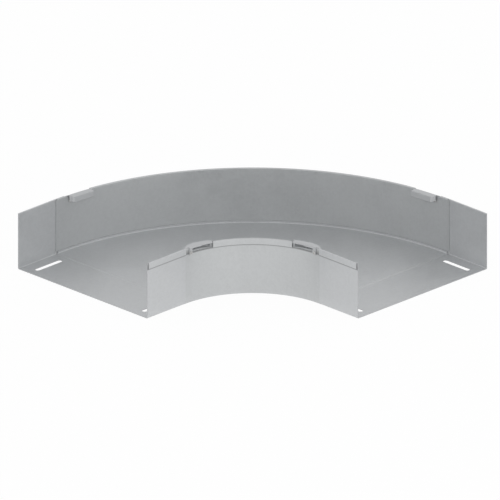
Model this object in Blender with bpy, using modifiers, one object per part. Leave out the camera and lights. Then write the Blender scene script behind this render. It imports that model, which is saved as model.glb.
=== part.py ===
"""Horizontal 90 degree bend for a steel cable tray, with a socket at each end.

The fitting is folded from sheet. A base plate makes the floor, the cheeks of both sockets and a low
upstand along the curve. Two curved side rails stand outside that upstand and lap into the sockets.
Every side ends at the top in a hem that is folded outwards and down. Next to each socket the hem is
notched for a spring latch: a bent clip that sits astride the rail, is held by a tubular rivet and
reaches into the tray with a bowed face.

Every shape is drawn round the centre of the bend. One run leaves the curve along -X, the other along
-Y. An empty at that centre carries all pieces and sets the box of the part over the origin, on Z = 0.
"""
import math

import bmesh
import bpy
from mathutils import Matrix, Vector

MM = 0.001
RIGHT_ANGLE = math.pi / 2

# Sizes of the tray system
TRAY_WIDTH = 300 * MM
SIDE_HEIGHT = 100 * MM
SHEET = 1.0 * MM

# Clearances: between sheets that lie on each other, and beside the tray that slides in
SEAM = 0.3 * MM
SOCKET_PLAY = 1.2 * MM

# The bend
INNER_RADIUS = 157.8 * MM
SOCKET_LENGTH = 90.5 * MM
ARC_STEP = math.radians(2.5)

# Folds, as radii of the middle of the sheet
FLOOR_FOLD = 3.5 * MM
FOLD_STEPS = 4
HEM_DROP = 12 * MM
HEM_SETBACK = 2.0 * MM

# Floor of the curve: raised by a ramp, with an upstand along both rails
RAMP_START = 3.5 * MM
RAMP_END = 0.3 * MM
UPSTAND_HEIGHT = 6.0 * MM
RELIEF_LENGTH = 4.0 * MM
RELIEF_HEIGHT = 9.0 * MM

# Laps of the side rails in the sockets
LAP_LENGTH = 2.8 * MM
LAP_HEAD = 2.0 * MM
CHEEK_END = 0.6 * MM

# Fixing slots in the socket floors
SLOT_LENGTH = 60 * MM
SLOT_WIDTH = 9 * MM
SLOT_FROM_CHEEK = 25.5 * MM
SLOT_FROM_END = 45.5 * MM
ROUND_STEPS = 12

# Latches, measured along the rail from the end of the notch that is nearer to the socket
OUTER_LATCH_OFFSET = 17 * MM
INNER_LATCH_OFFSET = 0 * MM
OUTER_LATCH_BOW = 1.0 * MM
INNER_LATCH_BOW = 3.5 * MM
LATCH_LENGTH = 54 * MM
NOTCH_PLAY = 0.75 * MM
LATCH_SINK = 0.8 * MM
LATCH_REACH = 11.0 * MM
LATCH_STEPS = 8
LATCH_FOLD = 0.9 * MM
LATCH_HEIGHT = 11 * MM
RIM_HEIGHT = 2.5 * MM
LEG_HEIGHT = 5.5 * MM
LEG_END = 34 * MM
EAR_START = 8.0 * MM
EAR_WIDTH = 7 * MM
EAR_DROP = 8.5 * MM
SHELF_START = 14 * MM
SHELF_BEVEL = 9 * MM

# Tubular rivets
RIVET_DROP = 11.3 * MM
SHANK_RADIUS = 1.7 * MM
RIVET_BORE = 1.0 * MM
HEAD_RADIUS = 3.0 * MM
TAIL_RADIUS = 2.6 * MM
HEAD_THICKNESS = 1.0 * MM
RIVET_STEPS = 16

# How far cutters run past what they cut
PAST = 4 * MM

# Radii and heights that follow from the sizes above
CLEAR_WIDTH = TRAY_WIDTH + 2 * SOCKET_PLAY
OUTER_RADIUS = INNER_RADIUS + CLEAR_WIDTH
LEAF_GAP = SHEET + SEAM
LEAF_OUTSIDE = LEAF_GAP + SHEET
RAIL_OUTSIDE = -SEAM
RAIL_MIDDLE = RAIL_OUTSIDE - SHEET / 2
RAIL_INSIDE = RAIL_OUTSIDE - SHEET
UPSTAND_OUTSIDE = RAIL_INSIDE - SEAM
UPSTAND_MIDDLE = UPSTAND_OUTSIDE - SHEET / 2
LATCH_TOP = SIDE_HEIGHT - LATCH_SINK
STRIP_TOP = LATCH_TOP - SHEET - SEAM
RIM_FOOT = LATCH_TOP - RIM_HEIGHT
LEG_FOOT = LATCH_TOP - LEG_HEIGHT
EAR_FOOT = LEG_FOOT - EAR_DROP
EAR_END = EAR_START + EAR_WIDTH
LATCH_FACE = RAIL_INSIDE - LATCH_REACH
LATCH_LIP = RAIL_INSIDE - HEAD_THICKNESS - 2 * SEAM
NOTCH_LENGTH = LATCH_LENGTH + 2 * NOTCH_PLAY
CENTRE_OFFSET = (OUTER_RADIUS + LEAF_OUTSIDE - SOCKET_LENGTH) / 2


class Side:
    """One side of the channel: the radius of its clear face, and which way is outwards."""

    def __init__(self, name, face, outward, latch_offset, latch_bow):
        self.name = name
        self.face = face
        self.outward = outward
        self.latch_offset = latch_offset
        self.latch_bow = latch_bow

    def radius(self, distance):
        """Radius at a distance outwards from the clear face of the socket."""
        return self.face + self.outward * distance

    def angle(self, length):
        """Angle that a length along the rail covers."""
        return length / self.radius(RAIL_MIDDLE)


OUTER_SIDE = Side("outer", OUTER_RADIUS, 1, OUTER_LATCH_OFFSET, OUTER_LATCH_BOW)
INNER_SIDE = Side("inner", INNER_RADIUS, -1, INNER_LATCH_OFFSET, INNER_LATCH_BOW)
SIDES = (OUTER_SIDE, INNER_SIDE)


def clear_scene():
    for item in list(bpy.data.objects):
        bpy.data.objects.remove(item, do_unlink=True)


def make_collection(name):
    collection = bpy.data.collections.new(name)
    bpy.context.scene.collection.children.link(collection)
    return collection


def make_material(name, colour, roughness, metallic):
    material = bpy.data.materials.new(name)
    material.use_nodes = True
    shader = material.node_tree.nodes["Principled BSDF"]
    shader.inputs["Base Color"].default_value = (*colour, 1.0)
    shader.inputs["Roughness"].default_value = roughness
    shader.inputs["Metallic"].default_value = metallic
    return material


# Outlines

def rounded_line(corners):
    """Points of a line with its corners rounded. A corner is (across, height, radius)."""
    line = []
    for number, (across, height, radius) in enumerate(corners):
        corner = Vector((across, height))
        if radius == 0:
            line.append(corner)
            continue
        before = (Vector(corners[number - 1][:2]) - corner).normalized()
        after = (Vector(corners[number + 1][:2]) - corner).normalized()
        half = before.angle(after) / 2
        centre = corner + (before + after).normalized() * radius / math.sin(half)
        start = corner + before * radius / math.tan(half) - centre
        turn = start.angle_signed(corner + after * radius / math.tan(half) - centre)
        for step in range(FOLD_STEPS + 1):
            point = centre + Matrix.Rotation(-turn * step / FOLD_STEPS, 2) @ start
            if (point - line[-1]).length > SEAM / 100:
                line.append(point)
    return line


def sheet_outline(corners):
    """Closed outline of a folded sheet, from the corners of the line along its middle."""
    line = rounded_line(corners)
    left = []
    right = []
    for number, point in enumerate(line):
        before = (point - line[max(number - 1, 0)]).normalized()
        after = (line[min(number + 1, len(line) - 1)] - point).normalized()
        along = (before + after).normalized()
        mitre = along.dot(after if after.length else before)
        side = Vector((-along.y, along.x)) * SHEET / 2 / mitre
        left.append(point + side)
        right.append(point - side)
    return left + right[::-1]


def rectangle(side, near, far, bottom, top):
    """Outline between two distances outwards from the clear face and two heights."""
    first = side.radius(near)
    second = side.radius(far)
    return [Vector(spot) for spot in ((first, bottom), (second, bottom), (second, top), (first, top))]


def slot_outline(length, width):
    """Long hole with round ends, its length along X, about the origin."""
    points = []
    for end in (1, -1):
        for step in range(ROUND_STEPS + 1):
            turn = math.pi * step / ROUND_STEPS - RIGHT_ANGLE
            arc = Vector((math.cos(turn), math.sin(turn))) * width / 2
            points.append(end * (arc + Vector(((length - width) / 2, 0))))
    return points


# Solids

def entering(distance):
    """Places an outline on the run along X, at a distance before the curve."""
    return lambda radius, height: Vector((-distance, radius, height))


def leaving(distance):
    """Places an outline on the run along Y, at a distance after the curve."""
    return lambda radius, height: Vector((radius, -distance, height))


def turning(angle):
    """Places an outline on the curve."""
    return lambda radius, height: Vector((radius * math.cos(angle), radius * math.sin(angle), height))


def swept(outline, first_angle=RIGHT_ANGLE, last_angle=0.0, leads=(), least_steps=1):
    """Solid of an outline carried round the bend.

    A lead is a distance from the curve and the outline there, the farthest lead first. Both ends of
    the curve get the same leads.
    """
    shape = bmesh.new()
    order = shape.verts.layers.int.new("order")
    before = [(entering(distance), section) for distance, section in leads]
    before.append((turning(first_angle), outline))
    after = [(leaving(distance), section) for distance, section in reversed(leads)]

    place, section = before[0]
    corners = [shape.verts.new(place(*spot)) for spot in section]
    for number, corner in enumerate(corners):
        corner[order] = number
    ring = [shape.edges.new((corners[number - 1], corners[number])) for number in range(len(corners))]
    caps = [ring]

    def extrude_to(ring, place, section):
        made = bmesh.ops.extrude_edge_only(shape, edges=ring)["geom"]
        for corner in (item for item in made if isinstance(item, bmesh.types.BMVert)):
            corner.co = place(*section[corner[order]])
        return [item for item in made if isinstance(item, bmesh.types.BMEdge)]

    for place, section in before[1:]:
        ring = extrude_to(ring, place, section)
    steps = max(least_steps, math.ceil(abs(last_angle - first_angle) / ARC_STEP - 0.01))
    made = bmesh.ops.spin(
        shape, geom=ring, cent=(0, 0, 0), axis=(0, 0, 1), angle=last_angle - first_angle, steps=steps
    )
    ring = [item for item in made["geom_last"] if isinstance(item, bmesh.types.BMEdge)]
    for place, section in after:
        ring = extrude_to(ring, place, section)
    caps.append(ring)

    for cap in caps:
        bmesh.ops.edgeloop_fill(shape, edges=cap)
    bmesh.ops.recalc_face_normals(shape, faces=shape.faces)
    return shape


def prism(outline, bottom, top, place):
    """Solid between two heights over a flat outline, moved by a matrix."""
    shape = bmesh.new()
    face = shape.faces.new([shape.verts.new((spot.x, spot.y, bottom)) for spot in outline])
    made = bmesh.ops.extrude_face_region(shape, geom=[face])["geom"]
    lifted = [item for item in made if isinstance(item, bmesh.types.BMVert)]
    bmesh.ops.translate(shape, verts=lifted, vec=(0, 0, top - bottom))
    bmesh.ops.transform(shape, matrix=place, verts=shape.verts)
    bmesh.ops.recalc_face_normals(shape, faces=shape.faces)
    return shape


def add_object(name, shape, collection, centre):
    """Turns a bmesh into an object that hangs on the centre of the bend."""
    mesh = bpy.data.meshes.new(name)
    shape.to_mesh(mesh)
    shape.free()
    item = bpy.data.objects.new(name, mesh)
    item.parent = centre
    collection.objects.link(item)
    return item


def add_part(name, shape, finish, scene):
    item = add_object(name, shape, scene["parts"], scene["centre"])
    item.data.materials.append(finish)
    item.data.shade_smooth()
    item.data.set_sharp_from_angle(angle=math.radians(30))
    return item


def cut(item, name, shape, scene):
    """Takes a shape away from a part."""
    cutter = add_object(f"{item.name}_{name}", shape, scene["cutters"], scene["centre"])
    cutter.hide_render = True
    cutter.display_type = "WIRE"
    boolean = item.modifiers.new(name, "BOOLEAN")
    boolean.operation = "DIFFERENCE"
    boolean.solver = "EXACT"
    boolean.object = cutter


def run_block(side, near, far, start, end, bottom, top, second_run):
    """Block on one run: between two distances from the curve and two distances from the clear face."""
    low, high = sorted((side.radius(near), side.radius(far)))
    corners = [Vector(spot) for spot in ((-start, low), (-end, low), (-end, high), (-start, high))]
    mirror = Matrix(((0, 1, 0, 0), (1, 0, 0, 0), (0, 0, 1, 0), (0, 0, 0, 1)))
    return prism(corners, bottom, top, mirror if second_run else Matrix())


# Base plate

def channel_outline(lift, inset):
    """Section of the base plate: hem, side, floor, side, hem."""
    floor = lift + SHEET / 2
    head = SIDE_HEIGHT - SHEET / 2
    hem_radius = LEAF_GAP / 2
    half = []
    for side in (INNER_SIDE, OUTER_SIDE):
        leaf = side.radius(LEAF_GAP + SHEET / 2 - inset)
        wall = side.radius(SHEET / 2 - inset)
        half.append([
            (leaf, SIDE_HEIGHT - HEM_DROP, 0),
            (leaf, head, hem_radius),
            (wall, head, hem_radius),
            (wall, floor, FLOOR_FOLD),
        ])
    return sheet_outline(half[0] + half[1][::-1])


def make_base_plate(finish, scene):
    socket = channel_outline(0, 0)
    raised = channel_outline(SHEET, 0)
    curve = channel_outline(SHEET, SHEET / 2 - UPSTAND_MIDDLE)
    leads = [(SOCKET_LENGTH, socket), (RAMP_START, socket), (RAMP_END, raised)]
    plate = add_part("base_plate", swept(curve, leads=leads), finish, scene)
    near = -CHEEK_END
    far = OUTER_RADIUS + LEAF_OUTSIDE + PAST
    square = [Vector(spot) for spot in ((near, near), (far, near), (far, far), (near, far))]
    cut(plate, "above_upstand", prism(square, UPSTAND_HEIGHT, SIDE_HEIGHT + PAST, Matrix()), scene)
    for side in SIDES:
        for run in (0, 1):
            relief = run_block(
                side, UPSTAND_MIDDLE - 2 * FLOOR_FOLD, LEAF_OUTSIDE + PAST,
                RELIEF_LENGTH, -CHEEK_END, -PAST, RELIEF_HEIGHT, run,
            )
            cut(plate, f"{side.name}_relief_{run}", relief, scene)
            setback = run_block(
                side, SHEET + SEAM / 4, LEAF_OUTSIDE + PAST,
                SOCKET_LENGTH + PAST, SOCKET_LENGTH - HEM_SETBACK,
                SIDE_HEIGHT - HEM_DROP - PAST, SIDE_HEIGHT + PAST, run,
            )
            cut(plate, f"{side.name}_setback_{run}", setback, scene)
            cut(plate, f"{side.name}_slot_{run}", floor_slot(side, run), scene)
    return plate


def floor_slot(side, second_run):
    """Cutter for a fixing slot beside a cheek."""
    along = -(SOCKET_LENGTH - SLOT_FROM_END)
    across = side.radius(-SLOT_FROM_CHEEK)
    outline = slot_outline(SLOT_LENGTH, SLOT_WIDTH)
    if second_run:
        place = Matrix.Translation((across, along, 0)) @ Matrix.Rotation(RIGHT_ANGLE, 4, "Z")
    else:
        place = Matrix.Translation((along, across, 0))
    return prism(outline, -PAST, SHEET + PAST, place)


# Side rails and latches

def rail_outline(side):
    """Section of a side rail: wall, fold over the top, leaf of the hem."""
    wall = side.radius(RAIL_MIDDLE)
    leaf = side.radius(LEAF_GAP + SHEET / 2)
    head = SIDE_HEIGHT - SHEET / 2
    radius = (LEAF_GAP + SHEET / 2 - RAIL_MIDDLE) / 2
    return sheet_outline([
        (wall, 0, 0),
        (wall, head, radius),
        (leaf, head, radius),
        (leaf, SIDE_HEIGHT - HEM_DROP, 0),
    ])


def latch_angle(side, length, second):
    """Angle of a point on a rail, at a length from the socket end of the latch's notch."""
    angle = side.angle(side.latch_offset + length)
    return angle if second else RIGHT_ANGLE - angle


def latch_sector(side, second, start, end, near, far, bottom, top):
    """Solid beside a latch, between two lengths along the rail."""
    outline = rectangle(side, near, far, bottom, top)
    return swept(outline, latch_angle(side, start, second), latch_angle(side, end, second))


def rivet_place(side, second):
    """Matrix of a rivet: its axis Z points outwards, its origin is on the clear face."""
    angle = latch_angle(side, EAR_START + EAR_WIDTH / 2, second)
    outward = Vector((math.cos(angle), math.sin(angle), 0)) * side.outward
    turn = outward.to_track_quat("Z", "Y").to_matrix().to_4x4()
    radius = side.radius(0)
    height = SIDE_HEIGHT - RIVET_DROP
    return Matrix.Translation((radius * math.cos(angle), radius * math.sin(angle), height)) @ turn


def rivet_hole(side, second):
    """Cutter for the hole of a rivet through a rail and the ear of its latch."""
    shape = bmesh.new()
    radius = SHANK_RADIUS + SEAM
    bmesh.ops.create_cone(
        shape, cap_ends=True, segments=RIVET_STEPS, radius1=radius, radius2=radius, depth=2 * PAST,
        matrix=rivet_place(side, second),
    )
    return shape


def make_side_rail(side, finish, scene):
    outline = rail_outline(side)
    shape = swept(outline, leads=[(LAP_LENGTH, outline)])
    rail = add_part(f"{side.name}_side_rail", shape, finish, scene)
    hem_start = CHEEK_END - SEAM if side.latch_offset > CHEEK_END else -CHEEK_END
    for run in (0, 1):
        leaf = run_block(
            side, RAIL_OUTSIDE / 2, LEAF_OUTSIDE + PAST, LAP_LENGTH + PAST, hem_start,
            SIDE_HEIGHT - HEM_DROP - PAST, SIDE_HEIGHT + PAST, run,
        )
        cut(rail, f"leaf_{run}", leaf, scene)
        head = run_block(
            side, RAIL_INSIDE - PAST, LEAF_OUTSIDE + PAST, LAP_LENGTH + PAST, hem_start,
            SIDE_HEIGHT - LAP_HEAD, SIDE_HEIGHT + PAST, run,
        )
        cut(rail, f"head_{run}", head, scene)
        notch = latch_sector(
            side, run, 0, NOTCH_LENGTH, RAIL_OUTSIDE / 2, LEAF_OUTSIDE + PAST,
            SIDE_HEIGHT - HEM_DROP - PAST, SIDE_HEIGHT + PAST,
        )
        cut(rail, f"notch_{run}", notch, scene)
        saddle = latch_sector(
            side, run, EAR_START - SEAM, NOTCH_LENGTH - SEAM, RAIL_INSIDE - PAST, LEAF_OUTSIDE + PAST,
            STRIP_TOP, SIDE_HEIGHT + PAST,
        )
        cut(rail, f"saddle_{run}", saddle, scene)
        window = latch_sector(
            side, run, EAR_END, NOTCH_LENGTH - NOTCH_PLAY - SHEET, RAIL_INSIDE - PAST, PAST,
            SIDE_HEIGHT - HEM_DROP, RIM_FOOT,
        )
        cut(rail, f"window_{run}", window, scene)
        cut(rail, f"rivet_hole_{run}", rivet_hole(side, run), scene)
    return rail


def latch_outline(side):
    """Section of a latch: leg outside the rail, shelf over it, face in the tray, lip back to the rail."""
    leg = side.radius(SHEET / 2)
    face = side.radius(LATCH_FACE + SHEET / 2)
    head = LATCH_TOP - SHEET / 2
    foot = LATCH_TOP - LATCH_HEIGHT + SHEET / 2
    return sheet_outline([
        (leg, EAR_FOOT, 0),
        (leg, head, LATCH_FOLD),
        (face, head, LATCH_FOLD),
        (face, foot, LATCH_FOLD),
        (side.radius(LATCH_LIP), foot, 0),
    ])


def latch_face(side, length):
    """Distance of a latch's bowed face outwards from the clear face, at a length along the rail."""
    share = 2 * (length - NOTCH_PLAY) / LATCH_LENGTH - 1
    return LATCH_FACE + side.latch_bow * share * share


def bow_latch(shape, side, second):
    """Brings the face of a straight latch nearer to the rail at both ends."""
    for corner in shape.verts:
        radius = corner.co.xy.length
        if side.outward * (radius - side.face) > LATCH_FACE / 2:
            continue
        angle = math.atan2(corner.co.y, corner.co.x)
        length = (angle if second else RIGHT_ANGLE - angle) * side.radius(RAIL_MIDDLE) - side.latch_offset
        corner.co.xy *= (radius + side.outward * (latch_face(side, length) - LATCH_FACE)) / radius


def latch_corner(side, second):
    """Cutter for the socket end of a latch: leaves the face long, bevels the shelf, frees the ear."""
    outside = LEAF_OUTSIDE + PAST
    behind_face = SHEET + SEAM
    bevel_end = SHELF_START - SHELF_BEVEL
    spots = (
        (-PAST, outside),
        (EAR_START, outside),
        (EAR_START, RAIL_OUTSIDE / 2),
        (SHELF_START, RAIL_OUTSIDE / 2),
        (bevel_end, latch_face(side, bevel_end) + behind_face),
        (-PAST, latch_face(side, -PAST) + behind_face),
    )
    outline = []
    for length, distance in spots:
        angle = latch_angle(side, length, second)
        outline.append(Vector((math.cos(angle), math.sin(angle))) * side.radius(distance))
    return prism(outline, EAR_FOOT - PAST, SIDE_HEIGHT + PAST, Matrix())


def make_latch(side, second, finish, scene):
    end = NOTCH_PLAY + LATCH_LENGTH
    angles = (latch_angle(side, NOTCH_PLAY, second), latch_angle(side, end, second))
    shape = swept(latch_outline(side), *angles, least_steps=LATCH_STEPS)
    bow_latch(shape, side, second)
    latch = add_part(f"{side.name}_latch_{'b' if second else 'a'}", shape, finish, scene)
    cut(latch, "corner", latch_corner(side, second), scene)
    steps = (("leg", EAR_END, LEG_FOOT), ("rim", LEG_END, RIM_FOOT))
    for name, start, foot in steps:
        below = latch_sector(
            side, second, start, end + PAST, RAIL_OUTSIDE / 2, LEAF_OUTSIDE + PAST, EAR_FOOT - PAST, foot,
        )
        cut(latch, f"below_{name}", below, scene)
    cut(latch, "rivet_hole", rivet_hole(side, second), scene)
    return latch


def make_rivet(side, second, finish, scene):
    """Tubular rivet: a profile turned round its axis, head outside, rolled tail inside."""
    head_seat = SHEET + SEAM
    tail_seat = RAIL_INSIDE - SEAM
    chamfer = HEAD_THICKNESS * 0.4
    profile = [
        (RIVET_BORE, head_seat + HEAD_THICKNESS),
        (HEAD_RADIUS - chamfer, head_seat + HEAD_THICKNESS),
        (HEAD_RADIUS, head_seat + HEAD_THICKNESS - chamfer),
        (HEAD_RADIUS, head_seat),
        (SHANK_RADIUS, head_seat),
        (SHANK_RADIUS, tail_seat),
        (TAIL_RADIUS, tail_seat),
        (TAIL_RADIUS, tail_seat - HEAD_THICKNESS + chamfer),
        (TAIL_RADIUS - chamfer, tail_seat - HEAD_THICKNESS),
        (RIVET_BORE, tail_seat - HEAD_THICKNESS),
    ]
    shape = bmesh.new()
    points = [shape.verts.new((radius, 0, height)) for radius, height in profile]
    for number in range(len(points)):
        shape.edges.new((points[number - 1], points[number]))
    rivet = add_part(f"{side.name}_rivet_{'b' if second else 'a'}", shape, finish, scene)
    rivet.matrix_local = rivet_place(side, second)
    screw = rivet.modifiers.new("turn", "SCREW")
    screw.steps = RIVET_STEPS
    screw.render_steps = RIVET_STEPS
    screw.use_merge_vertices = True
    screw.merge_threshold = 0.00001
    screw.use_smooth_shade = True
    return rivet


def main():
    clear_scene()
    centre = bpy.data.objects.new("bend_centre", None)
    centre.location = (-CENTRE_OFFSET, -CENTRE_OFFSET, 0)
    scene = {
        "parts": make_collection("cable_tray_bend"),
        "cutters": make_collection("cutters"),
        "centre": centre,
    }
    scene["parts"].objects.link(centre)
    sheet_grey = (0.50, 0.505, 0.50)
    make_base_plate(make_material("base_plate_steel", sheet_grey, 0.5, 0.6), scene)
    rail_steel = make_material("side_rail_steel", sheet_grey, 0.5, 0.6)
    latch_steel = make_material("latch_spring_steel", (0.56, 0.565, 0.56), 0.4, 0.8)
    rivet_steel = make_material("rivet_steel", (0.60, 0.60, 0.59), 0.35, 0.9)
    for side in SIDES:
        make_side_rail(side, rail_steel, scene)
        for second in (False, True):
            make_latch(side, second, latch_steel, scene)
            make_rivet(side, second, rivet_steel, scene)


main()
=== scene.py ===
import math

import bmesh
import bpy
from bpy.props import FloatProperty, FloatVectorProperty, IntProperty, PointerProperty
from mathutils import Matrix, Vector


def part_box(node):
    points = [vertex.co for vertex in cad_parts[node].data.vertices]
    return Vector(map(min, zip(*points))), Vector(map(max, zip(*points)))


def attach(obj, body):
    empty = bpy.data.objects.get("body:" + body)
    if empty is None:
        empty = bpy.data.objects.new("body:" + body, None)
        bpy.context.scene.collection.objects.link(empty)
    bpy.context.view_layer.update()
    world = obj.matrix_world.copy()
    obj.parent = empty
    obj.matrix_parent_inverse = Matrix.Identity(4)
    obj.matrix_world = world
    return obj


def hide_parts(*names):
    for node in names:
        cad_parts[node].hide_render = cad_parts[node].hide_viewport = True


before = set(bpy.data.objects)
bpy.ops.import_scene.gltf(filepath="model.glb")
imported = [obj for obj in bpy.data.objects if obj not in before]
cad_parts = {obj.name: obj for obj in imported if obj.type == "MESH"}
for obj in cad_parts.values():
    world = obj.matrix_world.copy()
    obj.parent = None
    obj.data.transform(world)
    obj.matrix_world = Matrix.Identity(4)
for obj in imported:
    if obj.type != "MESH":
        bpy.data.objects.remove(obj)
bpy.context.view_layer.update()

bl_info = {
    "name": "Cable tray bend",
    "version": (1, 0, 0),
    "blender": (4, 5, 0),
    "location": "View3D > Sidebar > Tray bend",
    "description": "Builds a 90 degree bend for a sheet steel cable tray",
    "category": "Object",
}

MM = 0.001
BODY = "root"
RIGHT_ANGLE = math.pi / 2
MIDDLE_ANGLE = RIGHT_ANGLE / 2
TOUCH = 0.01 * MM
CURVE_TOUCH = 5 * TOUCH

# Sheet metal. Shapes are drawn round the centre of the bend: one run leaves the curve along -X,
# the other along -Y. A distance is outwards from the clear face of a socket, and a length runs
# along a rail from the curve's start.
SHEET = 1.0 * MM
SEAM = 0.3 * MM
CLOSED_SEAM = 0.05 * MM
HALF = SHEET / 2
LEAF_MIDDLE = SHEET + SEAM + HALF
LEAF_OUTSIDE = LEAF_MIDDLE + HALF
RAIL_MIDDLE = -CLOSED_SEAM - HALF
RAIL_INSIDE = RAIL_MIDDLE - HALF
UPSTAND_MIDDLE = RAIL_INSIDE - CLOSED_SEAM - HALF
FLOOR_FOLD = 1.5 * MM
HEM_DROP = 11 * MM
HEM_SETBACK = 2 * MM
# Band on a wall's outside under the hem that takes painted shade: where it fades out, and where it
# is full.
HEM_SHADE_REACH = 3 * MM
HEM_SHADE_DEPTH = 1.2 * MM
LAP_LENGTH = 2.8 * MM

# Step in the floor, upstand and corner reliefs
RAMP_START = 1.8 * MM
RAMP_END = 0.3 * MM
UPSTAND_HEIGHT = 6 * MM
RELIEF_LENGTH = 3 * MM
RELIEF_HEIGHT = 6 * MM
RELIEF_GAP = 0.2 * MM
CHEEK_END = 0.6 * MM
UPSTAND_START = 0.99 * CHEEK_END

# Fixing slots
SLOT_LENGTH = 60 * MM
SLOT_WIDTH = 9 * MM
SLOT_FROM_CHEEK = 25.5 * MM
SLOT_FROM_END = 45.5 * MM
SLOT_SIDES = 48
SLOT_CUTTER_DEPTH = 6 * SHEET

# Latches and rivets
LATCH_LENGTH = 54.9 * MM
NOTCH_PLAY = 0.3 * MM
NOTCH_LENGTH = LATCH_LENGTH + 2 * NOTCH_PLAY
LATCH_SINK = 0.8 * MM
LATCH_REACH = 11 * MM
LATCH_HEIGHT = 11 * MM
LATCH_FOLD = 0.9 * MM
LIP_WIDTH = 4 * MM
SHELF_EDGE = -1.0 * MM
FACE_LEAN = 0.5 * MM
RIM_HEIGHT = 2.5 * MM
LEG_HEIGHT = 3.6 * MM
LEG_END = 34 * MM
EAR_START = 8 * MM
EAR_WIDTH = 7 * MM
EAR_END = EAR_START + EAR_WIDTH
EAR_DROP = 10.4 * MM
LEAD_IN_DEPTH = 9 * MM
RIVET_DROP = 11.3 * MM
SHANK_RADIUS = 1.7 * MM
RIVET_BORE = 1.0 * MM
HEAD_RADIUS = 3.0 * MM
TAIL_RADIUS = 2.6 * MM
HEAD_THICKNESS = 1.0 * MM
RIVET_HOLE_SIDES = 24
RIVET_CUTTER_DEPTH = 8 * SHEET
RIVET_ROUNDING_STEPS = 4

# Finishing of every piece
BEVEL_ANGLE = math.radians(50)
SMOOTH_ANGLE = math.radians(35)
NORMAL_WEIGHT = 100


def frame_size(value):
    """A size read from a box of the frame, free of rounding noise."""
    return round(value / MM, 1) * MM


PLATE_LOW, PLATE_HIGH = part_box("base_plate")
RAIL_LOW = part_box("outer_side_rail")[0]
CENTRE = Vector((*[frame_size(value + LAP_LENGTH) for value in RAIL_LOW.xy], 0))
SIDE_HEIGHT = frame_size(PLATE_HIGH.z)
SOCKET_LENGTH = frame_size(CENTRE.x - PLATE_LOW.x)
OUTER_FACE = frame_size(PLATE_HIGH.x - CENTRE.x - LEAF_OUTSIDE)
INNER_FACE = frame_size(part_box("inner_side_rail")[1].x - CENTRE.x - SEAM - SHEET)
HEM_FOOT = SIDE_HEIGHT - HEM_DROP
# Rings of the walls where the painted shade under the hem starts to fade and where it is full.
HEM_SHADE_RINGS = (HEM_FOOT - HEM_SHADE_REACH, HEM_FOOT - HEM_SHADE_DEPTH)
LATCH_TOP = SIDE_HEIGHT - LATCH_SINK
STRIP_TOP = LATCH_TOP - SHEET - SEAM
RIM_FOOT = LATCH_TOP - RIM_HEIGHT
LATCH_FACE = RAIL_INSIDE - LATCH_REACH


class Side:
    """One side of the channel: the radius of its clear face, which way is outwards, its latches.

    A latch starts at an offset from the curve's start. Its face starts further on, comes out
    from the wall over the lead-in, and bows back at both ends.
    """

    def __init__(
        self, name, face, outward, latch_offset, latch_bow, face_start, lead_in_length,
    ):
        self.name = name
        self.face = face
        self.outward = outward
        self.latch_offset = latch_offset
        self.latch_bow = latch_bow
        self.face_start = face_start
        self.lead_in_length = lead_in_length

    def radius(self, distance):
        return self.face + self.outward * distance

    def distance(self, point):
        """How far outwards a point of the first half lies."""
        radius = point.y if point.x < 0 else point.xy.length
        return self.outward * (radius - self.face)

    def length(self, point):
        """How far along the rail a point of the first half lies from the curve's start."""
        if point.x < 0:
            return point.x
        return math.atan2(point.x, point.y) * self.radius(RAIL_MIDDLE)

    def angle(self, length):
        return length / self.radius(RAIL_MIDDLE)


SIDES = (
    Side(
        "outer", OUTER_FACE, 1,
        latch_offset=17 * MM, latch_bow=1.0 * MM, face_start=9.4 * MM, lead_in_length=4.2 * MM,
    ),
    Side(
        "inner", INNER_FACE, -1,
        latch_offset=0, latch_bow=3.5 * MM, face_start=0, lead_in_length=15 * MM,
    ),
)


# Edit-mode steps

def start_point(name, spot, finishes):
    """New object in edit mode whose mesh is one point: a small plane merged into its middle."""
    bpy.ops.object.select_all(action="DESELECT")
    bpy.ops.mesh.primitive_plane_add(size=MM, location=spot)
    item = bpy.context.object
    item.name = name
    item.data.name = name
    for made in finishes:
        item.data.materials.append(made)
    bpy.ops.object.transform_apply(location=True)
    bpy.ops.object.mode_set(mode="EDIT")
    bpy.ops.mesh.select_mode(type="VERT")
    bpy.ops.mesh.select_all(action="SELECT")
    bpy.ops.mesh.merge(type="CENTER")
    return item


def extrude(step):
    bpy.ops.mesh.extrude_region_move(TRANSFORM_OT_translate={"value": step})


def extrude_through(spots):
    """Extrudes the selection so that a point of it goes from the first spot through the others."""
    for before, after in zip(spots, spots[1:]):
        extrude(Vector(after) - Vector(before))


def choose(item, kind, test):
    """Selects the points, edges or faces whose middle passes a test."""
    bpy.ops.mesh.select_mode(type=kind)
    bpy.ops.mesh.select_all(action="DESELECT")
    shape = bmesh.from_edit_mesh(item.data)
    for part in {"VERT": shape.verts, "EDGE": shape.edges, "FACE": shape.faces}[kind]:
        corners = [part.co] if kind == "VERT" else [corner.co for corner in part.verts]
        if test(sum(corners, Vector()) / len(corners)):
            part.select = True
    shape.select_flush_mode()
    bmesh.update_edit_mesh(item.data)


def delete_faces(item, test):
    choose(item, "FACE", test)
    bpy.ops.mesh.delete(type="FACE")


def round_corners(item, corners, radius, steps):
    """Turns corner points of a line into arcs."""
    choose(item, "VERT", lambda spot: any((spot - corner).length < TOUCH for corner in corners))
    bpy.ops.mesh.bevel(offset=radius, segments=steps, affect="VERTICES", clamp_overlap=False)
    bpy.ops.mesh.select_all(action="SELECT")
    bpy.ops.mesh.remove_doubles(threshold=TOUCH)


def spin(angle, finest):
    """Carries the selected line clockwise round the centre of the bend, in equal steps."""
    steps = max(1, math.ceil(angle / finest))
    bpy.ops.mesh.spin(steps=steps, dupli=False, angle=angle, center=(0, 0, 0), axis=(0, 0, 1))


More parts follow.
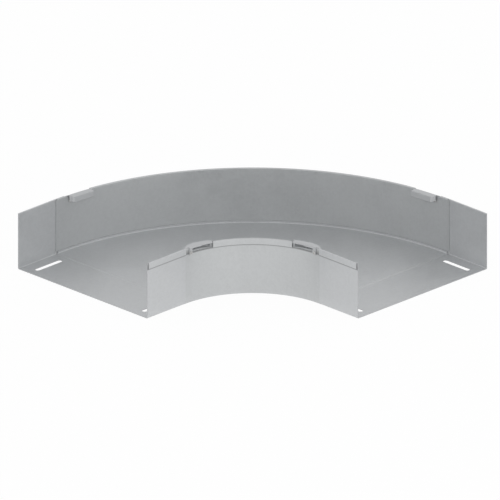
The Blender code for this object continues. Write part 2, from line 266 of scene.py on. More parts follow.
def fold_points(distance, height, radius, steps):
    """Distance and height of points on a quarter bend, level at first and upright at its end."""
    points = []
    for step in range(1, steps + 1):
        turn = RIGHT_ANGLE * step / steps
        rise = radius * (1 - math.cos(turn))
        points.append((distance + radius * math.sin(turn), height + rise))
    return points


def carry(side, start, points, curved):
    """Extrudes the selected edge of a sheet through points of distance and height."""
    distance, height = start
    for next_distance, next_height in points:
        if curved:
            extrude((0, 0, next_height - height))
            scale = side.radius(next_distance) / side.radius(distance)
            bpy.ops.transform.resize(value=(scale, scale, 1), center_override=(0, 0, 0))
        else:
            extrude((0, side.outward * (next_distance - distance), next_height - height))
        distance, height = next_distance, next_height


def select_only(item):
    bpy.ops.object.select_all(action="DESELECT")
    item.select_set(True)
    bpy.context.view_layer.objects.active = item


def apply_modifier(item, kind, **settings):
    select_only(item)
    modifier = item.modifiers.new(kind.lower(), kind)
    for key, value in settings.items():
        setattr(modifier, key, value)
    bpy.ops.object.modifier_apply(modifier=modifier.name)


def leave_edit_mode():
    bpy.ops.mesh.select_mode(type="FACE")
    bpy.ops.mesh.select_all(action="SELECT")
    bpy.ops.mesh.normals_make_consistent(inside=False)
    bpy.ops.object.mode_set(mode="OBJECT")


def mirror_half(item):
    """Adds the other half of a piece, mirrored at the upright plane through the bend's corner."""
    bpy.ops.object.select_all(action="DESELECT")
    bpy.ops.object.empty_add(rotation=(0, 0, -MIDDLE_ANGLE))
    plane = bpy.context.object
    apply_modifier(item, "MIRROR", mirror_object=plane, merge_threshold=TOUCH)
    bpy.data.objects.remove(plane)


def cut(item, cutter):
    """Takes a cutter away from a piece. The new faces take the piece's second finish."""
    cutter.data.materials.append(item.data.materials[1])
    apply_modifier(
        item, "BOOLEAN", operation="DIFFERENCE", solver="EXACT", object=cutter,
        material_mode="TRANSFER",
    )
    bpy.data.objects.remove(cutter)


def give_thickness(item):
    """Gives a sheet its thickness. Its rim takes the second finish, that of sheared edges."""
    apply_modifier(
        item, "SOLIDIFY", thickness=SHEET, offset=0, use_even_offset=True, use_rim=True,
        material_offset_rim=1,
    )


def paint_shade_under_hem(item):
    """Marks the outside of a wall just under its hem for painted shade: the shadow that the hem's
    leaf casts on the wall.
    """
    wall_faces = (RAIL_MIDDLE + HALF, SHEET)
    marks = item.data.attributes.new("dulled", "FLOAT", "POINT")
    for corner, mark in zip(item.data.vertices, marks.data):
        spot = corner.co.copy()
        if spot.x > spot.y:
            spot = spot.yxz
        for side in SIDES:
            distance = side.distance(spot)
            on_wall = any(abs(distance - face) < CURVE_TOUCH for face in wall_faces)
            if on_wall and HEM_SHADE_RINGS[1] - TOUCH < spot.z < HEM_FOOT + MM:
                mark.value = 1


def finish(item, settings, place, node):
    """Breaks the edges, smooths the bends, moves the piece to its place, hands it to the frame."""
    apply_modifier(
        item, "BEVEL", width=settings.edge_break, segments=settings.edge_steps,
        limit_method="ANGLE", angle_limit=BEVEL_ANGLE, miter_outer="MITER_ARC",
    )
    select_only(item)
    bpy.ops.object.shade_smooth_by_angle(angle=SMOOTH_ANGLE)
    apply_modifier(item, "WEIGHTED_NORMAL", keep_sharp=True, weight=NORMAL_WEIGHT)
    select_only(item)
    item.location = place
    bpy.ops.object.transform_apply(location=True, rotation=True, scale=True)
    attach(item, BODY)
    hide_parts(node)


# Base plate

def make_base_plate(settings):
    """Middle layer of the folded sheet's first half, then the other half, thickness and slots."""
    outer, inner = SIDES
    edge = HALF - FLOOR_FOLD
    upstand_edge = UPSTAND_MIDDLE - FLOOR_FOLD
    relief_edge = RAIL_INSIDE - RELIEF_GAP
    stops = [inner.radius(distance) for distance in (edge, relief_edge, upstand_edge)]
    stops += [outer.radius(distance) for distance in (upstand_edge, relief_edge, edge)]
    spots = [Vector((-SOCKET_LENGTH, stop, HALF)) for stop in stops]
    finishes = [finish_named(name, settings) for name in ("zinc_plate", "sheared_sheet_edge")]
    plate = start_point("tray_plate", spots[0], finishes)
    extrude_through(spots)
    bpy.ops.mesh.select_all(action="SELECT")
    along = (
        (-SOCKET_LENGTH, HALF),
        (HEM_SETBACK - SOCKET_LENGTH, HALF),
        (-RELIEF_LENGTH, HALF),
        (-RAMP_START, HALF),
        (-RAMP_END, HALF + SHEET),
        (0, HALF + SHEET),
    )
    extrude_through([(x, 0, z) for x, z in along])
    turned = 0
    for angle in (CHEEK_END / outer.face, CHEEK_END / inner.face, MIDDLE_ANGLE):
        spin(angle - turned, settings.arc_step)
        turned = angle
    for side in SIDES:
        delete_faces(plate, lambda spot: (
            side.distance(spot) > relief_edge and -RELIEF_LENGTH < spot.x < UPSTAND_START
            or side.distance(spot) > upstand_edge and spot.x > UPSTAND_START
        ))
        fold_cheek(plate, side, edge, settings)
        fold_upstand(plate, side, upstand_edge, settings)
    leave_edit_mode()
    mirror_half(plate)
    give_thickness(plate)
    for side in SIDES:
        for second in (False, True):
            cut(plate, slot_cutter(side, second))
    return plate


def fold_cheek(plate, side, edge, settings):
    """Folds up the side of a socket, and its hem outwards and down."""
    choose(plate, "EDGE", lambda spot: (
        abs(side.distance(spot) - edge) < TOUCH and spot.x < -RELIEF_LENGTH and spot.z < SHEET
    ))
    points = fold_points(edge, HALF, FLOOR_FOLD, settings.fold_steps)
    radius = (LEAF_MIDDLE - HALF) / 2
    crest = SIDE_HEIGHT - HALF
    # The cheek's wall gets rings under the hem for the fade of the painted shade.
    points += [(HALF, height) for height in (RELIEF_HEIGHT, *HEM_SHADE_RINGS, HEM_FOOT, crest - radius)]
    for step in range(1, 2 * settings.fold_steps + 1):
        turn = math.pi * step / (2 * settings.fold_steps)
        distance = HALF + radius * (1 - math.cos(turn))
        points.append((distance, crest - radius + radius * math.sin(turn)))
    points.append((LEAF_MIDDLE, HEM_FOOT))
    carry(side, (edge, HALF), points, False)
    choose(plate, "EDGE", lambda spot: (
        abs(spot.x + RELIEF_LENGTH) < TOUCH and spot.z > RELIEF_HEIGHT and side.distance(spot) > 0
    ))
    extrude((RELIEF_LENGTH - CHEEK_END, 0, 0))
    delete_faces(plate, lambda spot: (
        spot.x < HEM_SETBACK - SOCKET_LENGTH and side.distance(spot) > HALF + radius
    ))


def fold_upstand(plate, side, edge, settings):
    """Folds up the low rim along the curve."""
    choose(plate, "EDGE", lambda spot: (
        abs(side.distance(spot) - edge) < CURVE_TOUCH and spot.x > UPSTAND_START
        and spot.z < 2 * SHEET
    ))
    points = fold_points(edge, HALF + SHEET, FLOOR_FOLD, settings.fold_steps)
    points.append((UPSTAND_MIDDLE, UPSTAND_HEIGHT))
    carry(side, (edge, HALF + SHEET), points, True)


def slot_cutter(side, second):
    """Long hole with round ends: one cylinder, one half of which is moved along."""
    along = -(SOCKET_LENGTH - SLOT_FROM_END)
    across = side.radius(-SLOT_FROM_CHEEK)
    straight = SLOT_LENGTH - SLOT_WIDTH
    bpy.ops.object.select_all(action="DESELECT")
    bpy.ops.mesh.primitive_cylinder_add(
        vertices=SLOT_SIDES, radius=SLOT_WIDTH / 2, depth=SLOT_CUTTER_DEPTH,
    )
    cutter = bpy.context.object
    bpy.ops.object.mode_set(mode="EDIT")
    choose(cutter, "VERT", lambda spot: spot.x > TOUCH)
    bpy.ops.transform.translate(value=(straight / 2, 0, 0))
    choose(cutter, "VERT", lambda spot: spot.x < -TOUCH)
    bpy.ops.transform.translate(value=(-straight / 2, 0, 0))
    bpy.ops.object.mode_set(mode="OBJECT")
    if second:
        cutter.location = (across, along, 0)
        cutter.rotation_euler.z = RIGHT_ANGLE
    else:
        cutter.location = (along, across, 0)
    return cutter


# Side rails

def make_rail(side, settings):
    """First half of a curved side with its hem, the notch and the window of its latch."""
    radius = (LEAF_MIDDLE - RAIL_MIDDLE) / 2
    crest = SIDE_HEIGHT - HALF
    wall = side.radius(RAIL_MIDDLE)
    leaf = side.radius(LEAF_MIDDLE)
    corners = [Vector((-LAP_LENGTH, across, crest)) for across in (wall, leaf)]
    # The wall gets rings under the hem for the fade of the painted shade.
    heights = (0, *HEM_SHADE_RINGS, HEM_FOOT, RIM_FOOT, STRIP_TOP)
    spots = [Vector((-LAP_LENGTH, wall, height)) for height in heights]
    spots += corners + [Vector((-LAP_LENGTH, leaf, HEM_FOOT))]
    finishes = [finish_named(name, settings) for name in ("zinc_rail", "sheared_sheet_edge")]
    rail = start_point(f"{side.name}_rail", spots[0], finishes)
    extrude_through(spots)
    round_corners(rail, corners, radius, settings.fold_steps)
    bpy.ops.mesh.select_all(action="SELECT")
    extrude((LAP_LENGTH, 0, 0))
    notch = side.latch_offset
    strip_start = EAR_START - SEAM
    window_end = NOTCH_LENGTH - NOTCH_PLAY - SHEET
    angles = [
        side.angle(notch + station)
        for station in (0, strip_start, EAR_END, window_end, NOTCH_LENGTH)
    ]
    turned = 0
    for angle in (*angles, MIDDLE_ANGLE):
        if angle > turned:
            spin(angle - turned, settings.arc_step)
            turned = angle

    def in_notch(spot):
        """Hem and top of the wall where the latch sits."""
        along = side.length(spot) - notch
        if side.distance(spot) > RAIL_MIDDLE + radius / 2:
            return along < NOTCH_LENGTH and (spot.x < 0 or along > 0)
        return spot.z > STRIP_TOP and (spot.x < 0 or strip_start < along < NOTCH_LENGTH)

    def in_window(spot):
        """Opening in the wall behind the latch's leg."""
        along = side.length(spot) - notch
        on_wall = HEM_FOOT < spot.z < RIM_FOOT and side.distance(spot) < 0
        return on_wall and EAR_END < along < window_end

    delete_faces(rail, lambda spot: in_notch(spot) or in_window(spot))
    leave_edit_mode()
    mirror_half(rail)
    give_thickness(rail)
    for face in rail.data.polygons:
        if abs(min(face.center.xy) + LAP_LENGTH) < TOUCH:
            face.material_index = 0
    for second in (False, True):
        cut(rail, rivet_cutter(side, second))
    return rail


def rivet_matrix(side, second):
    """Place of a rivet: its axis points outwards, its origin lies on the clear face."""
    angle = side.angle(side.latch_offset + EAR_START + EAR_WIDTH / 2)
    toward = Vector((math.sin(angle), math.cos(angle), 0))
    if second:
        toward = toward.yxz
    spot = toward * side.face + Vector((0, 0, SIDE_HEIGHT - RIVET_DROP))
    return spot, (toward * side.outward).to_track_quat("Z", "Y").to_euler()


def rivet_cutter(side, second):
    spot, turn = rivet_matrix(side, second)
    bpy.ops.object.select_all(action="DESELECT")
    bpy.ops.mesh.primitive_cylinder_add(
        vertices=RIVET_HOLE_SIDES, radius=SHANK_RADIUS + SEAM, depth=RIVET_CUTTER_DEPTH,
        location=spot, rotation=turn,
    )
    return bpy.context.object


# Latches

def make_latch(side, settings):
    """Spring clip of the first run: leg outside the rail, shelf, bowed face in the tray, lip."""
    leg = side.radius(HALF)
    face = side.radius(LATCH_FACE + HALF)
    head = LATCH_TOP - HALF
    foot = LATCH_TOP - LATCH_HEIGHT + HALF
    leg_foot = LATCH_TOP - LEG_HEIGHT
    face_head = face + side.outward * FACE_LEAN
    face_foot = face - side.outward * FACE_LEAN
    corners = [
        Vector((0, across, height))
        for across, height in ((leg, head), (face_head, head), (face_foot, foot))
    ]
    spots = [Vector((0, leg, height)) for height in (leg_foot - EAR_DROP, leg_foot, RIM_FOOT)]
    spots.append(corners[0])
    if side.face_start:
        spots.append(Vector((0, side.radius(SHELF_EDGE), head)))
    spots += [*corners[1:], Vector((0, side.radius(LATCH_FACE + LIP_WIDTH), foot))]
    finishes = [
        finish_named(name, settings) for name in ("plated_spring_steel", "sheared_sheet_edge")
    ]
    latch = start_point(f"{side.name}_clip_a", spots[0], finishes)
    extrude_through(spots)
    round_corners(latch, corners, LATCH_FOLD, settings.fold_steps)
    bpy.ops.mesh.select_all(action="SELECT")
    length = NOTCH_PLAY
    for station in (EAR_START, EAR_END, LEG_END, NOTCH_PLAY + LATCH_LENGTH):
        spin(side.angle(station - length), side.angle(settings.latch_step))
        length = station
    bow_face(latch, side)

    def along(spot):
        return side.length(spot) + NOTCH_PLAY

    fold_edge = HALF - LATCH_FOLD
    delete_faces(latch, lambda spot: (
        spot.z < foot + LATCH_FOLD and side.distance(spot) < fold_edge
        and along(spot) < side.face_start + side.lead_in_length
        or side.distance(spot) < SHELF_EDGE and along(spot) < side.face_start
    ))
    delete_faces(latch, lambda spot: (
        side.distance(spot) > fold_edge and along(spot) < EAR_START
        or spot.z < leg_foot and side.distance(spot) > fold_edge and along(spot) > EAR_END
        or spot.z < RIM_FOOT and side.distance(spot) > fold_edge and along(spot) > LEG_END
    ))
    leave_edit_mode()
    latch.rotation_euler.z = -side.angle(side.latch_offset + NOTCH_PLAY)
    select_only(latch)
    bpy.ops.object.transform_apply(rotation=True)
    give_thickness(latch)
    cut(latch, rivet_cutter(side, False))
    return latch


def bow_face(latch, side):
    """Brings the face nearer to the rail at both ends, ring by ring, most at the socket end."""
    shape = bmesh.from_edit_mesh(latch.data)
    lengths = sorted({round(side.length(corner.co) / TOUCH) * TOUCH for corner in shape.verts})
    for length in lengths:
        share = 2 * length / LATCH_LENGTH - 1
        lead = min(1, max(0, 1 - (length - side.face_start) / side.lead_in_length))
        shift = side.latch_bow * share * share + (LEAD_IN_DEPTH - side.latch_bow) * lead * lead
        scale = 1 + side.outward * shift / side.radius(LATCH_FACE)
        choose(latch, "VERT", lambda spot: (
            abs(side.length(spot) - length) < 2 * TOUCH and side.distance(spot) < LATCH_FACE / 2
        ))
        bpy.ops.transform.resize(value=(scale, scale, 1), center_override=(0, 0, 0))


# Rivets

def make_rivet(side, settings):
    """Tubular rivet: an outline spun round its axis, head outside, rolled tail inside the tray."""
    head_seat = SHEET + SEAM
    head_top = head_seat + HEAD_THICKNESS
    tail_seat = RAIL_INSIDE - SEAM
    tail_end = tail_seat - HEAD_THICKNESS
    corner_radii = (
        (HEAD_RADIUS, head_top, 0.7 * MM),
        (TAIL_RADIUS, tail_end, 0.6 * MM),
        (RIVET_BORE, head_top, 0.35 * MM),
        (RIVET_BORE, tail_end, 0.5 * MM),
        (TAIL_RADIUS, tail_seat, 0.25 * MM),
    )
    spots = (
        (RIVET_BORE, head_top),
        (HEAD_RADIUS, head_top),
        (HEAD_RADIUS, head_seat),
        (SHANK_RADIUS, head_seat),
        (SHANK_RADIUS, tail_seat),
        (TAIL_RADIUS, tail_seat),
        (TAIL_RADIUS, tail_end),
        (RIVET_BORE, tail_end),
        (RIVET_BORE, head_top),
    )
    line = [Vector((radius, 0, height)) for radius, height in spots]
    plating = finish_named("plated_rivet", settings)
    rivet = start_point(f"{side.name}_tube_rivet_a", line[0], [plating])
    extrude_through(line)
    bpy.ops.mesh.select_all(action="SELECT")
    bpy.ops.mesh.remove_doubles(threshold=TOUCH)
    for radius, height, rounding in corner_radii:
        round_corners(rivet, [Vector((radius, 0, height))], rounding, RIVET_ROUNDING_STEPS)
    bpy.ops.mesh.select_all(action="SELECT")
    bpy.ops.mesh.spin(
        steps=settings.rivet_steps, dupli=False, angle=4 * RIGHT_ANGLE,
        center=(0, 0, 0), axis=(0, 0, 1),
    )
    bpy.ops.mesh.select_all(action="SELECT")
    bpy.ops.mesh.remove_doubles(threshold=TOUCH)
    leave_edit_mode()
    rivet.location, rivet.rotation_euler = rivet_matrix(side, False)
    select_only(rivet)
    bpy.ops.object.transform_apply(location=True, rotation=True)
    return rivet


def mirrored_copy(item, name):
    """The same piece of the other run."""
    select_only(item)
    bpy.ops.object.duplicate(linked=False)
    copy = bpy.context.object
    copy.name = name
    copy.data.name = name
    copy.scale.x = -1
    copy.rotation_euler.z = -RIGHT_ANGLE
    bpy.ops.object.transform_apply(rotation=True, scale=True)
    bpy.ops.object.mode_set(mode="EDIT")
    leave_edit_mode()
    return copy


# Patterns of the finishes. Scales are in cells per metre; three of them give one for each axis.
ROLLED_ALONG_X = (12, 900, 900)
ROLLED_ALONG_Z = (900, 900, 12)
SPANGLE_SCALE = 260
SHEET_CLOUD_SCALE = 14
SHEAR_MARK_SCALES = (2200, 2200, 400)
EDGE_SPOT_SCALE = 160
SCUFF_SCALES = (700, 700, 90)
PLATING_CLOUD_SCALE = 60
MIDDLE_TONE = 0.5

# How far rolling lines, spangle and clouds change the zinc's tone and its roughness, and how
# high spangle and lines stand out
ZINC_TONE = (0.6, 0.35, 0.6)
ZINC_ROUGHNESS = (0.2, 0.1, 0.25)
SPANGLE_BUMP = 0.15
ZINC_BUMP_DEPTH = 0.02 * MM
# Share of the zinc's colour left in the painted shade under the hems.
HEM_SHADE_SHARE = 0.5

# Sheared edges
EDGE_VARIATION = 0.15
EDGE_ROUGHNESS = 0.6
EDGE_ROUGHENING = 0.2
EDGE_BUMP = 0.6

# Plating: how far scuffs and clouds change its tone and its roughness
PLATING_VARIATION = 0.05
PLATING_TONE = (0.6, 0.8)
PLATING_BASE_ROUGHNESS = 0.6
PLATING_ROUGHNESS = (0.2, 0.1)
SCUFF_BUMP_DEPTH = 0.006 * MM
SCUFF_BUMP = 0.5


# Shader nodes

class Link:
    """Output of a shader node that Python's operators take as a number."""

    def __init__(self, graph, socket):
        self.graph = graph
        self.socket = socket

    def work_out(self, operation, first, second):
        return self.graph.node("ShaderNodeMath", {"operation": operation}, {0: first, 1: second})

    def __add__(self, other):
        return self.work_out("ADD", self, other)

    __radd__ = __add__

    def __sub__(self, other):
        return self.work_out("SUBTRACT", self, other)

    def __rsub__(self, other):
        return self.work_out("SUBTRACT", other, self)

    def __mul__(self, other):
        return self.work_out("MULTIPLY", self, other)

    __rmul__ = __mul__


class Graph:
    """Node tree of a new material or world."""

    def __init__(self, owner, shader="Principled BSDF"):
        owner.use_nodes = True
        self.tree = owner.node_tree
        self.shader = self.tree.nodes[shader]

    def node(self, kind, settings, inputs, output=0):
        made = self.tree.nodes.new(kind)
        for key, value in settings.items():
            setattr(made, key, value)
        for key, value in inputs.items():
            self.feed(made.inputs[key], value)
        return Link(self, made.outputs[output])

    def feed(self, socket, value):
        if isinstance(value, Link):
            self.tree.links.new(value.socket, socket)
        else:
            socket.default_value = value

    def place(self):
        """Where a point lies on the object."""
        return self.node("ShaderNodeTexCoord", {}, {}, "Object")

    def stretch(self, vector, factors):
        settings = {"operation": "MULTIPLY"}
        return self.node("ShaderNodeVectorMath", settings, {0: vector, 1: factors})

    def noise(self, vector, scale, detail):
        """Soft noise round 0, mostly less than a quarter away from it."""
        inputs = {"Vector": vector, "Scale": scale, "Detail": detail, "Roughness": 0.5}
        return self.node("ShaderNodeTexNoise", {}, inputs, 0) - 0.5

    def blend(self, factor, first, second):
        """Mix of two colours, by the Mix node's sockets for colours."""
        settings = {"data_type": "RGBA", "clamp_factor": True}
        return self.node("ShaderNodeMix", settings, {0: factor, 6: first, 7: second}, 2)

    def bump(self, height, distance, strength):
        inputs = {"Height": height, "Distance": distance, "Strength": strength}
        return self.node("ShaderNodeBump", {}, inputs)

    def vary(self, factor, colour, variation):
        """Colour that goes from darker to lighter by a share of itself."""
        return self.blend(factor, shade(colour, 1 - variation), shade(colour, 1 + variation))


def weigh(base, patterns, weights):
    """Base value plus each pattern times its weight."""
    for pattern, weight in zip(patterns, weights):
        base = base + weight * pattern
    return base


def shade(colour, factor):
    return (*[factor * share for share in colour], 1)


def rolled_zinc(name, colour, settings):
    """Hot-dip zinc on rolled sheet: fine rolling lines, small spangle and soft clouds, and painted
    shade under the hems.
    """
    material = bpy.data.materials.new(name)
    graph = Graph(material)
    place = graph.place()
    normal = graph.node("ShaderNodeNewGeometry", {}, {}, "Normal")
    facing_x = graph.node("ShaderNodeSeparateXYZ", {}, {"Vector": normal}, 0)
    facing_x = facing_x * facing_x
    along_x = graph.noise(graph.stretch(place, ROLLED_ALONG_X), scale=1, detail=2)
    along_z = graph.noise(graph.stretch(place, ROLLED_ALONG_Z), scale=1, detail=2)
    grain = along_x * (1 - facing_x) + along_z * facing_x
    cells = graph.node(
        "ShaderNodeTexVoronoi", {}, {"Vector": place, "Scale": SPANGLE_SCALE}, "Color",
    )
    spangle = graph.node("ShaderNodeSeparateXYZ", {}, {"Vector": cells}, 0) - 0.5
    clouds = graph.noise(place, SHEET_CLOUD_SCALE, detail=3)
    patterns = (grain, spangle, clouds)
    tone = weigh(MIDDLE_TONE, patterns, ZINC_TONE)
    clean = graph.vary(tone, colour, settings.sheet_variation)
    # Painted shade: the marked band under each hem is darkened toward a share of the colour,
    # standing in for the shadow of the hem's leaf.
    dulled = graph.node("ShaderNodeAttribute", {"attribute_name": "dulled"}, {}, "Fac")
    graph.feed(graph.shader.inputs["Base Color"], graph.blend(
        dulled * settings.hem_shade_strength, clean, shade(colour, HEM_SHADE_SHARE),
    ))
    roughness = weigh(settings.sheet_roughness, patterns, ZINC_ROUGHNESS)
    graph.feed(graph.shader.inputs["Roughness"], roughness)
    graph.feed(graph.shader.inputs["Metallic"], settings.metal_share)
    relief = grain + SPANGLE_BUMP * spangle
    graph.feed(graph.shader.inputs["Normal"], graph.bump(relief, ZINC_BUMP_DEPTH, strength=1))
    return material


def sheared_edge(name, colour, settings):
    """Cut edge of the sheet: darker bare steel with fine shear marks through its thickness."""
    material = bpy.data.materials.new(name)
    graph = Graph(material)
    place = graph.place()
    marks = graph.noise(graph.stretch(place, SHEAR_MARK_SCALES), scale=1, detail=2)
    spots = graph.noise(place, EDGE_SPOT_SCALE, detail=2)
    tone = MIDDLE_TONE + marks + spots
    graph.feed(graph.shader.inputs["Base Color"], graph.vary(tone, colour, EDGE_VARIATION))
    graph.feed(graph.shader.inputs["Roughness"], EDGE_ROUGHNESS + EDGE_ROUGHENING * marks)
    graph.feed(graph.shader.inputs["Metallic"], settings.metal_share)
    graph.feed(graph.shader.inputs["Normal"], graph.bump(marks, ZINC_BUMP_DEPTH, EDGE_BUMP))
    return material


def plated_steel(name, colour, settings):
    """Electroplated spring steel: smoother than the sheet, with faint scuffs."""
    material = bpy.data.materials.new(name)
    graph = Graph(material)
    place = graph.place()
    scuffs = graph.noise(graph.stretch(place, SCUFF_SCALES), scale=1, detail=3)
    clouds = graph.noise(place, PLATING_CLOUD_SCALE, detail=2)
    patterns = (scuffs, clouds)
    tone = weigh(MIDDLE_TONE, patterns, PLATING_TONE)
    graph.feed(graph.shader.inputs["Base Color"], graph.vary(tone, colour, PLATING_VARIATION))
    roughness = weigh(PLATING_BASE_ROUGHNESS, patterns, PLATING_ROUGHNESS)
    graph.feed(graph.shader.inputs["Roughness"], roughness)
    graph.feed(graph.shader.inputs["Metallic"], settings.metal_share)
    graph.feed(graph.shader.inputs["Normal"], graph.bump(scuffs, SCUFF_BUMP_DEPTH, SCUFF_BUMP))
    return material


FINISHES = {
    "zinc_plate": (rolled_zinc, "plate_colour"),
    "zinc_rail": (rolled_zinc, "rail_colour"),
    "sheared_sheet_edge": (sheared_edge, "edge_colour"),
    "plated_spring_steel": (plated_steel, "latch_colour"),
    "plated_rivet": (plated_steel, "rivet_colour"),
}


def finish_named(name, settings):
    """A finish, made the first time that it is asked for."""
    made = bpy.data.materials.get(name)
    if made is None:
        maker, colour = FINISHES[name]
        made = maker(name, getattr(settings, colour), settings)
    return made


# Stage

PHOTO_SIDE = 500
PIXELS_PER_METRE = 601.2
CENTRE_PIXEL = Vector((252.56, 329.55))
CAMERA_DISTANCE = 3
FLOOR_SIZE = 12
FLOOR_DROP = 0.2 * MM
FLOOR_COLOUR = (0.9, 0.9, 0.9, 1)
WHITE = (1, 1, 1, 1)
LAMP_PLACE = (0.4, -2.0, 1.6)
LAMP_SIZE = 2


def make_floor(settings):
    """Pale floor that takes the shadow and shows as white to the camera and in reflections."""
    bpy.ops.object.select_all(action="DESELECT")
    bpy.ops.mesh.primitive_plane_add(size=FLOOR_SIZE, location=(0, 0, -FLOOR_DROP))
    floor = bpy.context.object
    floor.name = "pale_floor"
    bpy.ops.object.transform_apply(location=True)
    material = bpy.data.materials.new("pale_floor")
    graph = Graph(material)
    graph.feed(graph.shader.inputs["Base Color"], FLOOR_COLOUR)
    graph.feed(graph.shader.inputs["Roughness"], 1)
    graph.feed(graph.shader.inputs["Specular IOR Level"], 0)
    camera, glossy, transmission = [
        graph.node("ShaderNodeLightPath", {}, {}, f"Is {kind} Ray")
        for kind in ("Camera", "Glossy", "Transmission")
    ]
    seen = camera * settings.backdrop_share + glossy + transmission
    white = graph.node("ShaderNodeEmission", {}, {"Color": WHITE, "Strength": 1})
    plain = Link(graph, graph.shader.outputs["BSDF"])
    mixed = graph.node("ShaderNodeMixShader", {}, {0: seen, 1: plain, 2: white})
    graph.feed(graph.tree.nodes["Material Output"].inputs["Surface"], mixed)
    floor.data.materials.append(material)


def make_surround(settings):
    """Even light from all round, stronger near the horizon than overhead."""
    world = bpy.data.worlds.new("soft_surround")
    bpy.context.scene.world = world
    graph = Graph(world, "Background")
    direction = graph.node("ShaderNodeTexCoord", {}, {}, "Generated")
    height = graph.node("ShaderNodeSeparateXYZ", {}, {"Vector": direction}, 2)
    strength = settings.overhead_light * height + settings.horizon_light * (1 - height)
    graph.feed(graph.shader.inputs["Strength"], strength)
    graph.feed(graph.shader.inputs["Color"], WHITE)


def make_lamp(settings):
    """Soft lamp above and to the right of the camera, aimed at the part."""
    bpy.ops.object.select_all(action="DESELECT")
    bpy.ops.object.light_add(type="AREA", location=LAMP_PLACE)
    lamp = bpy.context.object
    lamp.name = "soft_lamp"
    lamp.data.shape = "SQUARE"
    lamp.data.size = LAMP_SIZE
    lamp.data.energy = settings.lamp_power
    lamp.rotation_euler = (-Vector(LAMP_PLACE)).to_track_quat("-Z", "Y").to_euler()


def make_camera(settings):
    """Orthographic view from above the inner corner, framed as the photo is."""
    elevation = settings.view_elevation
    away = Vector((1, 1, 0)).normalized()
    right = Vector((1, -1, 0)).normalized()
    shift = (Vector((PHOTO_SIDE / 2, PHOTO_SIDE / 2)) - CENTRE_PIXEL) / PIXELS_PER_METRE
    aim = CENTRE + right * shift.x - away * shift.y / math.sin(elevation)
    look = away * math.cos(elevation) - Vector((0, 0, math.sin(elevation)))
    bpy.ops.object.select_all(action="DESELECT")
    bpy.ops.object.camera_add(location=aim - look * CAMERA_DISTANCE)
    camera = bpy.context.object
    camera.name = "photo_camera"
    camera.data.type = "ORTHO"
    camera.data.ortho_scale = PHOTO_SIDE / PIXELS_PER_METRE
    camera.rotation_mode = "QUATERNION"
    camera.rotation_quaternion = look.to_track_quat("-Z", "Y")
    bpy.context.scene.camera = camera


# Settings, operators and panel

def colour_setting(name, description, default):
    return FloatVectorProperty(
        name=name, description=description, default=default, subtype="COLOR", size=3, min=0, max=1,
    )


class TRAYBEND_settings(bpy.types.PropertyGroup):
    """Finishes, fineness, light and view that a user may change"""
    plate_colour: colour_setting(
        "Plate colour", "Zinc coat of the base plate", (0.580, 0.591, 0.601),
    )
    rail_colour: colour_setting(
        "Rail colour", "Zinc coat of the side rails", (0.553, 0.565, 0.571),
    )
    edge_colour: colour_setting(
        "Edge colour", "Sheared edges of the sheet", (0.47, 0.475, 0.485),
    )
    latch_colour: colour_setting("Latch colour", "Plating of the latches", (0.54, 0.55, 0.56))
    rivet_colour: colour_setting("Rivet colour", "Plating of the rivets", (0.62, 0.62, 0.61))
    sheet_variation: FloatProperty(
        name="Sheet variation", description="Largest change of the sheet's tone", default=0.1,
        subtype="FACTOR", min=0, max=0.5,
    )
    # How dark the painted shade under the hems is.
    hem_shade_strength: FloatProperty(
        name="Painted hem shade", description="How dark the line under the hems is", default=1,
        subtype="FACTOR", min=0, max=1,
    )
    sheet_roughness: FloatProperty(
        name="Sheet roughness", description="Mean roughness of the zinc", default=0.5,
        subtype="FACTOR", min=0, max=1,
    )
    metal_share: FloatProperty(
        name="Metal share", description="How far the metal mirrors instead of scattering",
        default=0.88, subtype="FACTOR", min=0, max=1,
    )
    edge_break: FloatProperty(
        name="Edge break", description="Width of the break along sheared edges", default=0.15 * MM,
        subtype="DISTANCE", unit="LENGTH", min=0,
    )
    edge_steps: IntProperty(
        name="Edge steps", description="Faces across an edge break", default=2, min=1,
    )
    fold_steps: IntProperty(
        name="Fold steps", description="Faces across a right-angle fold", default=6, min=2,
    )
    rivet_steps: IntProperty(
        name="Rivet steps", description="Faces round a rivet", default=48, min=12,
    )
    arc_step: FloatProperty(
        name="Arc step", description="Largest turn of the curve per face",
        default=math.radians(0.75), subtype="ANGLE", unit="ROTATION", min=0.001,
    )
    latch_step: FloatProperty(
        name="Latch step", description="Largest length of a latch per face", default=1.2 * MM,
        subtype="DISTANCE", unit="LENGTH", min=0.0001,
    )
    overhead_light: FloatProperty(
        name="Overhead light", description="Strength of the surroundings overhead",
        default=0.65, min=0,
    )
    horizon_light: FloatProperty(
        name="Horizon light", description="Strength of the surroundings at the horizon",
        default=1.28, min=0,
    )
    lamp_power: FloatProperty(
        name="Lamp", description="Power of the soft lamp", default=4.5, unit="POWER", min=0,
    )
    backdrop_share: FloatProperty(
        name="Backdrop", description="How far the floor shows as plain white", default=0.96,
        subtype="FACTOR", min=0, max=1,
    )
    view_elevation: FloatProperty(
        name="View elevation", description="How far above the horizon the camera looks from",
        default=math.asin(0.3845), subtype="ANGLE", unit="ROTATION", min=0.1, max=RIGHT_ANGLE,
    )


class TRAYBEND_OT_base_plate(bpy.types.Operator):
    """Builds the folded sheet of the floor, the sockets and the upstands"""
    bl_idname = "traybend.base_plate"
    bl_label = "Base plate"

    def execute(self, context):
        settings = context.scene.tray_bend
        plate = make_base_plate(settings)
        # Painted shade under the hems' leaves.
        paint_shade_under_hem(plate)
        finish(plate, settings, CENTRE, "base_plate")
        return {"FINISHED"}


class TRAYBEND_OT_side_rails(bpy.types.Operator):
    """Builds the curved sides with their hems"""
    bl_idname = "traybend.side_rails"
    bl_label = "Side rails"

    def execute(self, context):
        settings = context.scene.tray_bend
        for side in SIDES:
            rail = make_rail(side, settings)
            # Painted shade under the hem's leaf.
            paint_shade_under_hem(rail)
            finish(rail, settings, CENTRE, f"{side.name}_side_rail")
        return {"FINISHED"}


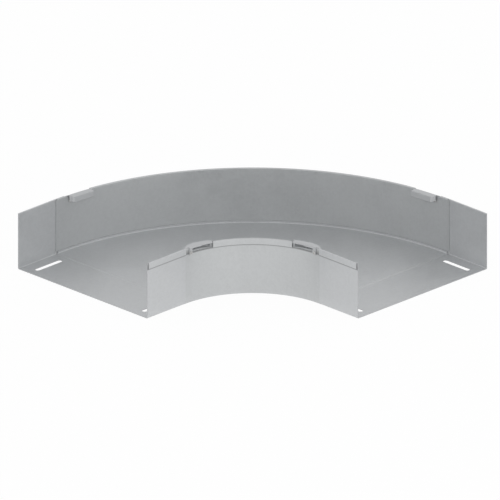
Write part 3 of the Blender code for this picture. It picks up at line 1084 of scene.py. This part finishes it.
class TRAYBEND_OT_latches(bpy.types.Operator):
    """Builds the spring clips on the side rails"""
    bl_idname = "traybend.latches"
    bl_label = "Latches"

    def execute(self, context):
        settings = context.scene.tray_bend
        for side in SIDES:
            first = make_latch(side, settings)
            second = mirrored_copy(first, f"{side.name}_clip_b")
            finish(first, settings, CENTRE, f"{side.name}_latch_a")
            finish(second, settings, CENTRE, f"{side.name}_latch_b")
        return {"FINISHED"}


class TRAYBEND_OT_rivets(bpy.types.Operator):
    """Builds the tubular rivets of the latches"""
    bl_idname = "traybend.rivets"
    bl_label = "Rivets"

    def execute(self, context):
        settings = context.scene.tray_bend
        for side in SIDES:
            first = make_rivet(side, settings)
            second = mirrored_copy(first, f"{side.name}_tube_rivet_b")
            finish(first, settings, CENTRE, f"{side.name}_rivet_a")
            finish(second, settings, CENTRE, f"{side.name}_rivet_b")
        return {"FINISHED"}


class TRAYBEND_OT_stage(bpy.types.Operator):
    """Sets the floor, the light and the camera"""
    bl_idname = "traybend.stage"
    bl_label = "Stage"

    def execute(self, context):
        settings = context.scene.tray_bend
        make_floor(settings)
        make_surround(settings)
        make_lamp(settings)
        make_camera(settings)
        context.scene.view_settings.view_transform = "Standard"
        return {"FINISHED"}


OPERATORS = (
    TRAYBEND_OT_base_plate,
    TRAYBEND_OT_side_rails,
    TRAYBEND_OT_latches,
    TRAYBEND_OT_rivets,
    TRAYBEND_OT_stage,
)


class TRAYBEND_PT_build(bpy.types.Panel):
    """Settings and steps of the tray bend"""
    bl_label = "Tray bend"
    bl_space_type = "VIEW_3D"
    bl_region_type = "UI"
    bl_category = "Tray bend"

    def draw(self, context):
        settings = context.scene.tray_bend
        for name in TRAYBEND_settings.__annotations__:
            self.layout.prop(settings, name)
        for operator in OPERATORS:
            self.layout.operator(operator.bl_idname)


CLASSES = (TRAYBEND_settings, *OPERATORS, TRAYBEND_PT_build)


def register():
    for one in CLASSES:
        bpy.utils.register_class(one)
    bpy.types.Scene.tray_bend = PointerProperty(type=TRAYBEND_settings)


def unregister():
    del bpy.types.Scene.tray_bend
    for one in reversed(CLASSES):
        bpy.utils.unregister_class(one)


def main():
    register()
    bpy.ops.traybend.base_plate()
    bpy.ops.traybend.side_rails()
    bpy.ops.traybend.latches()
    bpy.ops.traybend.rivets()
    bpy.ops.traybend.stage()


if __name__ == "__main__":
    main()
